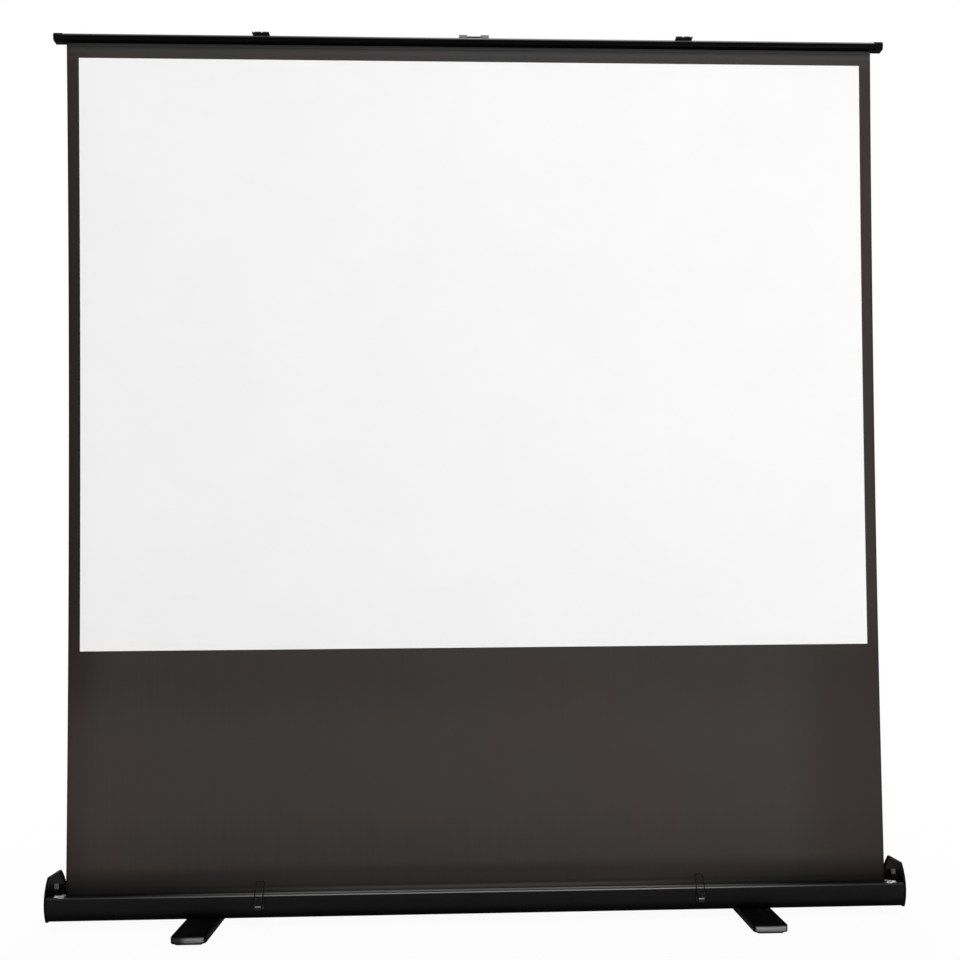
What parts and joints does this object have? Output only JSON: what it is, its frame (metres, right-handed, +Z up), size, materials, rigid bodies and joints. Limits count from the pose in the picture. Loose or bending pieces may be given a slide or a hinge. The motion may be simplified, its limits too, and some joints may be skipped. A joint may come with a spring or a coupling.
{
  "type": "floor-standing pull-up projector screen",
  "caption": "Free-standing pull-up projection screen: matt white sheet with black border, drawn from a floor case with swivel feet and held up by a scissor frame behind.",
  "frame": {"origin": "centre of the footprint on the floor, midway between the two feet", "axes": "+Z up, the screen faces -Y, +X to the viewer's right"},
  "size_m": [2.167, 0.3566, 2.2841],
  "materials": {
    "case_aluminium": "black anodised extrusion, satin",
    "frame_aluminium": "black anodised flat bar, satin",
    "cap_plastic": "moulded black plastic, fine grain",
    "foot_plastic": "moulded black plastic, satin",
    "grip_rubber": "soft black sleeve",
    "pad_rubber": "non-slip pad",
    "handle_plastic": "grey moulded plastic",
    "nylon": "natural nylon",
    "zinc_steel": "zinc plated",
    "spring_steel": "oiled spring wire",
    "black_steel": "black coated steel",
    "tube_aluminium": "bare, mill finish",
    "screen_cloth": "matt white woven face with black border and backing",
    "black_cloth": "matt black backing cloth"
  },
  "bodies": {
    "case": {"case_extrusion": "case_aluminium", "roller_cover": "case_aluminium", "guide_rod": "zinc_steel", "end_cap_left": "cap_plastic", "end_cap_right": "cap_plastic", "roller_bracket_left": "black_steel", "roller_bracket_right": "black_steel", "spring_arbor": "zinc_steel", "roller_spring": "spring_steel", "base_bracket_left": "zinc_steel", "base_bracket_right": "zinc_steel", "base_pin_left": "zinc_steel", "base_pin_right": "zinc_steel", "latch_base_left": "black_steel", "latch_base_right": "black_steel", "foot_bolt_left": "zinc_steel", "foot_bolt_right": "zinc_steel", "foot_washer_left": "nylon", "foot_washer_right": "nylon", "screen_fabric": "screen_cloth"},
    "roller": {"roller_tube": "tube_aluminium", "roller_plug": "cap_plastic", "roller_bush": "nylon", "fabric_winding": "black_cloth"},
    "lower_left": {"lower_arm_left": "frame_aluminium", "lift_spring_left": "spring_steel", "elbow_pin_right": "zinc_steel", "elbow_washer_right": "nylon"},
    "lower_right": {"lower_arm_right": "frame_aluminium", "lift_spring_right": "spring_steel", "elbow_pin_left": "zinc_steel", "elbow_washer_left": "nylon"},
    "upper_right": {"upper_arm_right": "frame_aluminium"},
    "upper_left": {"upper_arm_left": "frame_aluminium"},
    "bar": {"top_bar": "frame_aluminium", "bar_cap_left": "cap_plastic", "bar_cap_right": "cap_plastic", "hem_rod": "handle_plastic", "top_bracket_left": "zinc_steel", "top_bracket_right": "zinc_steel", "top_pin_left": "zinc_steel", "top_pin_right": "zinc_steel", "latch_strike_left": "black_steel", "latch_strike_right": "black_steel", "handle_bracket_left": "handle_plastic", "handle_bracket_right": "handle_plastic"},
    "handle": {"handle_bail": "black_steel", "handle_grip": "grip_rubber"},
    "latch_left_lever": {"latch_lever_left": "cap_plastic"},
    "latch_left_bail": {"latch_bail_left": "black_steel"},
    "foot_left": {"foot_left": "foot_plastic", "foot_pad_front_left": "pad_rubber", "foot_pad_rear_left": "pad_rubber"},
    "latch_right_lever": {"latch_lever_right": "cap_plastic"},
    "latch_right_bail": {"latch_bail_right": "black_steel"},
    "foot_right": {"foot_right": "foot_plastic", "foot_pad_front_right": "pad_rubber", "foot_pad_rear_right": "pad_rubber"}
  },
  "joints": [
    {"name": "frame_fold", "type": "hinge", "parent": "case", "child": "lower_left", "pos_m": [-0.22, 0.0245, 0.0419], "axis": [0, 1, 0], "range_deg": [0, 61.93], "deforming": ["screen_fabric"]},
    {"name": "right_arm_fold", "type": "hinge", "parent": "case", "child": "lower_right", "pos_m": [0.22, 0.0245, 0.0419], "axis": [0, 1, 0], "range_deg": [-61.93, 0]},
    {"name": "right_elbow", "type": "hinge", "parent": "lower_left", "child": "upper_right", "pos_m": [0.34847, 0.0245, 1.14392], "axis": [0, 1, 0], "range_deg": [-123.85, 0]},
    {"name": "left_elbow", "type": "hinge", "parent": "lower_right", "child": "upper_left", "pos_m": [-0.34847, 0.0245, 1.14392], "axis": [0, 1, 0], "range_deg": [0, 123.85]},
    {"name": "bar_level", "type": "hinge", "parent": "upper_right", "child": "bar", "pos_m": [-0.22, 0.0245, 2.24594], "axis": [0, 1, 0], "range_deg": [0, 61.93]},
    {"name": "roller_wind", "type": "hinge", "parent": "case", "child": "roller", "pos_m": [0, -0.0325, 0.052], "axis": [-1, 0, 0], "range_deg": [0, 5489.8]},
    {"name": "handle_lift", "type": "hinge", "parent": "bar", "child": "handle", "pos_m": [0, -0.0245, 2.278], "axis": [1, 0, 0], "range_deg": [0, 100]},
    {"name": "latch_left_lever_swing", "type": "hinge", "parent": "case", "child": "latch_left_lever", "pos_m": [-0.555, -0.0707, 0.0692], "axis": [-1, 0, 0], "range_deg": [0, 150]},
    {"name": "latch_left_bail_swing", "type": "hinge", "parent": "latch_left_lever", "child": "latch_left_bail", "pos_m": [-0.555, -0.067, 0.0622], "axis": [1, 0, 0], "range_deg": [0, 150]},
    {"name": "latch_right_lever_swing", "type": "hinge", "parent": "case", "child": "latch_right_lever", "pos_m": [0.555, -0.0707, 0.0692], "axis": [-1, 0, 0], "range_deg": [0, 150]},
    {"name": "latch_right_bail_swing", "type": "hinge", "parent": "latch_right_lever", "child": "latch_right_bail", "pos_m": [0.555, -0.067, 0.0622], "axis": [1, 0, 0], "range_deg": [0, 150]},
    {"name": "foot_left_swivel", "type": "hinge", "parent": "case", "child": "foot_left", "pos_m": [-0.698, 0, 0.0208], "axis": [0, 0, 1], "range_deg": [0, 90]},
    {"name": "foot_right_swivel", "type": "hinge", "parent": "case", "child": "foot_right", "pos_m": [0.698, 0, 0.0208], "axis": [0, 0, -1], "range_deg": [0, 90]}
  ],
  "couplings": [
    {"joint": "right_arm_fold", "follows": "frame_fold", "ratio": -1},
    {"joint": "right_elbow", "follows": "frame_fold", "ratio": -2},
    {"joint": "left_elbow", "follows": "frame_fold", "ratio": 2},
    {"joint": "bar_level", "follows": "frame_fold", "ratio": 1},
    {"joint": "roller_wind", "follows": "frame_fold", "ratio": 88.642},
    {"joint": "latch_left_bail_swing", "follows": "latch_left_lever_swing", "ratio": 1},
    {"joint": "latch_right_bail_swing", "follows": "latch_right_lever_swing", "ratio": 1}
  ]
}
